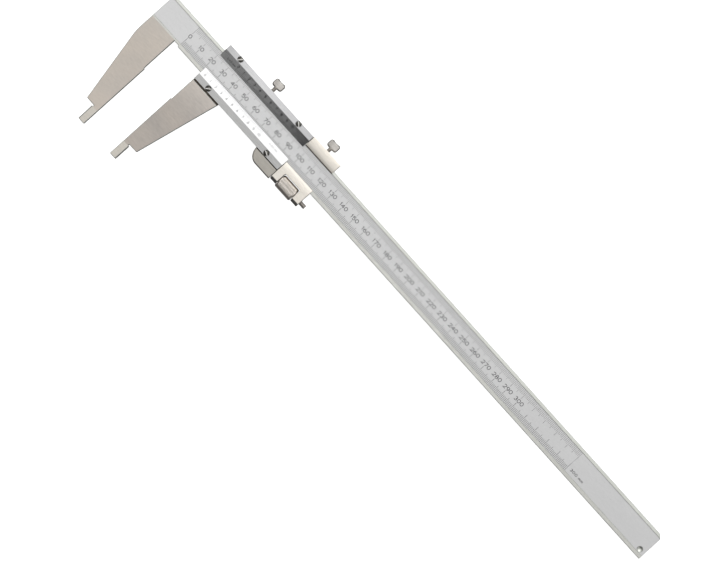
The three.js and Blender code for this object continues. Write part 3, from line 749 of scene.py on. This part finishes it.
def paddle_outline(half_width, bottom, top):
    """The flat of the paddle in x and y about x = 0, from its lower right corner round."""
    r = PADDLE_CORNER
    points = arc(half_width - r, bottom + r, r, r, -90, 0, PADDLE_STEPS)
    points += arc(half_width - r, top - r, r, r, 0, 90, PADDLE_STEPS)
    for i in range(1, PADDLE_STEPS):
        across = 1 - 2 * i / PADDLE_STEPS
        points.append((across * (half_width - r), top - PADDLE_DIP * (1 - across * across)))
    points += arc(-half_width + r, top - r, r, r, 90, 180, PADDLE_STEPS)
    points += arc(-half_width + r, bottom + r, r, r, 180, 270, PADDLE_STEPS)
    for i in range(1, PADDLE_STEPS):
        across = -1 + 2 * i / PADDLE_STEPS
        points.append((across * (half_width - r), bottom))
    return points


def paddle(bm, half_width, bottom, top, x, z):
    """The dished paddle of a clamp screw, with rounded rims."""
    outline = [Vector(p) for p in paddle_outline(half_width, bottom, top)]
    centre = Vector((0, (bottom + top) / 2))
    count = len(outline)
    normals = []
    for i in range(count):
        tangent = (outline[(i + 1) % count] - outline[i - 1]).normalized()
        normals.append(Vector((-tangent.y, tangent.x)))

    def half_thickness(px):
        """The paddle is thin in its middle and thick at its ends."""
        across = px / half_width
        return PADDLE_WAIST + (PADDLE_RIM - PADDLE_WAIST) * across * across

    def shell(sign):
        """Rings from the rim over the rounding to the middle of the front (1) or of the back (-1)."""
        loops = []
        for k in range(PADDLE_ROUND_STEPS + 1):
            angle = math.pi / 2 * k / PADDLE_ROUND_STEPS
            loop = []
            for p, n in zip(outline, normals):
                q = p + n * PADDLE_ROUNDING * (1 - math.cos(angle))
                h = half_thickness(q.x)
                edge = min(PADDLE_ROUNDING, h)
                height = (h - edge) + edge * math.sin(angle)
                loop.append((x + q.x, q.y, z + sign * height))
            loops.append(loop)
        for share in PADDLE_RINGS:
            loop = []
            for p, n in zip(outline, normals):
                q = centre + (p + n * PADDLE_ROUNDING - centre) * share
                loop.append((x + q.x, q.y, z + sign * half_thickness(q.x)))
            loops.append(loop)
        return loops

    loft(bm, shell(-1)[::-1] + shell(1))
    bm.normal_update()
    # faces that lean away from the flat take the rim's painted shade
    for face in bm.faces:
        face.material_index = 1 if abs(face.normal.z) < RIM_LEAN else 0


def clamp_screw(name, node, body):
    """A thumb screw with a thread all the way up to its paddle."""
    low, high = span(node)
    x = (low.x + high.x) / 2
    z = (low.z + high.z) / 2
    bm = bmesh.new()
    paddle(bm, (high.x - low.x) / 2, PADDLE_BOTTOM, high.y, x, z)
    threaded_rod(bm, along_y(x, 0, z), CLAMP_RADIUS, low.y, PADDLE_BOTTOM + CLAMP_ROOT, CLAMP_TIP, low.y)
    add_piece(name, bm, body, [THUMB, THUMB_RIM_SHADE], [node])


clamp_screw("slider_thumb_screw", "slider_clamp_screw", "slider_clamp")
clamp_screw("carriage_thumb_screw", "carriage_clamp_screw", "carriage_clamp")


# ------------------------------------------------------------------ fine adjustment


def carriage_material(face):
    """0 is the plated block and 1 the sloping side of its upper lip, which carries a painted shadow."""
    sloping = 0.1 < face.normal.z < 0.9
    return 1 if sloping and face.normal.y < 0 and face.calc_center_median().y > 0 else 0


refined("carriage_block", "carriage", "carriage", [PLATED, LIP_SHADOW],
        CARRIAGE_ROUNDING, material_of=carriage_material)
refined("carriage_gib_strip", "carriage_gib", "carriage_gib", [BRONZE], GIB_ROUNDING)
refined("cross_pin", "adjusting_screw_pin", "slider", [SCREW], PIN_ROUNDING)


def adjusting_screw():
    """The spindle that stands in the lug, with a thread from the lug's end on."""
    low, high = span("adjusting_screw")
    y = (low.y + high.y) / 2
    z = (low.z + high.z) / 2
    bm = bmesh.new()
    threaded_rod(bm, along_x(0, y, z), (high.y - low.y) / 2, low.x, high.x, SPINDLE_TIP, slider_high.x)
    add_piece("adjusting_spindle", bm, "slider", [THUMB], ["adjusting_screw"])


def adjusting_nut():
    """A nut with a fine straight knurl between two plain bands."""
    low, high = span("adjusting_nut")
    radius = (high.y - low.y) / 2
    y = (low.y + high.y) / 2
    z = (low.z + high.z) / 2
    angles = []
    for t in range(NUT_TEETH):
        for share, deep in NUT_TOOTH:
            angles.append((2 * math.pi * (t + share) / NUT_TEETH, deep))

    def ring(x, r, knurled):
        """One ring of the nut's skin, with the teeth cut into it where it is knurled."""
        loop = []
        for angle, deep in angles:
            reach = r - (NUT_TOOTH_DEPTH * deep if knurled else 0)
            loop.append((x, y + reach * math.cos(angle), z + reach * math.sin(angle)))
        return loop

    plain = radius - NUT_TOOTH_DEPTH
    stations = [
        (low.x, NUT_BORE, False),
        (low.x, plain - NUT_CHAMFER, False),
        (low.x + NUT_CHAMFER, plain, False),
        (low.x + NUT_LAND, plain, False),
        (low.x + NUT_LAND + NUT_RUN_OUT, radius, True),
        (high.x - NUT_LAND - NUT_RUN_OUT, radius, True),
        (high.x - NUT_LAND, plain, False),
        (high.x - NUT_CHAMFER, plain, False),
        (high.x, plain - NUT_CHAMFER, False),
        (high.x, NUT_BORE, False),
        (low.x, NUT_BORE, False),
    ]
    bm = bmesh.new()
    loft(bm, [ring(*s) for s in stations], closed_ends=False)
    bmesh.ops.remove_doubles(bm, verts=bm.verts, dist=WELD)
    add_piece("knurled_nut", bm, "nut", [TURNED], ["adjusting_nut"], KNURL_SHARP)


adjusting_screw()
adjusting_nut()


# ------------------------------------------------------------------ studio

FLOOR_SIZE = 3.0  # metres
FLOOR_GAP = 0.0002  # metres below the caliper
FLOOR_GLOW = 0.85


def floor():
    """A white table that glows, so that it stays white under the caliper's shadow."""
    bm = bmesh.new()
    bmesh.ops.create_grid(bm, x_segments=2, y_segments=2, size=FLOOR_SIZE)
    mesh = bpy.data.meshes.new("floor")
    bm.to_mesh(mesh)
    bm.free()
    ground = bpy.data.objects.new("floor", mesh)
    middle = (cad_low + cad_high) / 2
    ground.location = (middle.x, middle.y, cad_low.z - FLOOR_GAP)
    ground.visible_glossy = False
    scene.collection.objects.link(ground)
    material, tree, shader = node_tree("floor_white")
    shader.inputs["Base Color"].default_value = (0.82, 0.82, 0.82, 1)
    shader.inputs["Roughness"].default_value = 0.9
    shader.inputs["Emission Color"].default_value = (1, 1, 1, 1)
    shader.inputs["Emission Strength"].default_value = FLOOR_GLOW
    mesh.materials.append(material)


SIDE_START = 0.45  # of the direction's x
SIDE_END = 0.9
SIDE_STRENGTH = 0.5


def sky():
    """A studio as a gradient: a bright lamp on the +Y side, a dark gap on the -Y side, dim ends in X."""
    world = bpy.data.worlds.new("studio")
    scene.world = world
    world.use_nodes = True
    tree = world.node_tree
    background = tree.nodes["Background"]
    coords = tree.nodes.new("ShaderNodeTexCoord")
    split = tree.nodes.new("ShaderNodeSeparateXYZ")
    tree.links.new(coords.outputs["Generated"], split.inputs[0])
    lean = math_node(tree, "ARCTAN2", split.outputs["Y"], split.outputs["Z"])
    share = math_node(tree, "ADD", math_node(tree, "DIVIDE", lean, 2 * math.pi), 0.5)
    # Brightness by the lean from the zenith in degrees, positive towards +Y.
    around = brightness_ramp(tree, share, 360, [
        (-180, 0.06), (-150, 0.06), (-125, 0.05), (-100, 0.1), (-75, 0.3), (-60, 0.2), (-38, 0.04),
        (-26, 0.4), (-12, 0.95), (0, 1.0), (12, 1.06), (24, 1.45), (37, 1.95), (48, 1.6),
        (60, 0.95), (95, 1.0), (130, 0.9), (160, 0.3), (180, 0.06)])
    across = math_node(tree, "ADD", math_node(tree, "DIVIDE", split.outputs["X"], 2), 0.5)
    # Brightness by the direction's x.
    ends = brightness_ramp(tree, across, 2, [
        (-1, 0.8), (-0.75, 0.5), (-0.5, 0.9), (-0.3, 1.2), (0, 1.05), (0.15, 0.87), (0.35, 0.72),
        (0.55, 0.5), (0.75, 0.5), (1, 0.8)])
    # Towards both ends the brightness settles to SIDE_STRENGTH.
    sideways = tree.nodes.new("ShaderNodeMapRange")
    sideways.interpolation_type = "SMOOTHSTEP"
    sideways.inputs["From Min"].default_value = SIDE_START
    sideways.inputs["From Max"].default_value = SIDE_END
    tree.links.new(math_node(tree, "ABSOLUTE", split.outputs["X"], 0), sideways.inputs["Value"])
    strength = tree.nodes.new("ShaderNodeMix")
    tree.links.new(sideways.outputs["Result"], strength.inputs["Factor"])
    tree.links.new(math_node(tree, "MULTIPLY", around, ends), strength.inputs["A"])
    strength.inputs["B"].default_value = SIDE_STRENGTH
    background.inputs["Color"].default_value = (1, 1, 1, 1)
    tree.links.new(strength.outputs["Result"], background.inputs["Strength"])


CAMERA_TURN = 48  # degrees
SIDE_MARGIN = 0.0358  # metres, left and right of the caliper
CENTRE_SHIFT = (-0.0011, -0.0028)  # metres right and up, from the caliper's middle to the view's
LENS = 150
SENSOR = 36


def camera():
    """Straight above, turned so that the beam runs down to the right."""
    turn = math.radians(CAMERA_TURN)
    right = Vector((math.cos(turn), math.sin(turn), 0))
    up = Vector((-math.sin(turn), math.cos(turn), 0))
    corners = []
    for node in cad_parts:
        low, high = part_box(node)
        corners += [Vector((x, y, high.z)) for x in (low.x, high.x) for y in (low.y, high.y)]
    across = [c.dot(right) for c in corners]
    height = [c.dot(up) for c in corners]
    centre = right * ((min(across) + max(across)) / 2 + CENTRE_SHIFT[0])
    centre += up * ((min(height) + max(height)) / 2 + CENTRE_SHIFT[1])
    frame_width = max(across) - min(across) + 2 * SIDE_MARGIN
    data = bpy.data.cameras.new("camera")
    data.lens = LENS
    data.sensor_width = SENSOR
    distance = frame_width * LENS / SENSOR
    eye = bpy.data.objects.new("camera", data)
    eye.location = (centre.x, centre.y, beam_high.z + distance)
    eye.rotation_euler = (0, 0, turn)
    data.clip_start = 0.1
    data.clip_end = 20
    scene.collection.objects.link(eye)
    scene.camera = eye


floor()
sky()
camera()
scene.view_settings.view_transform = "Standard"
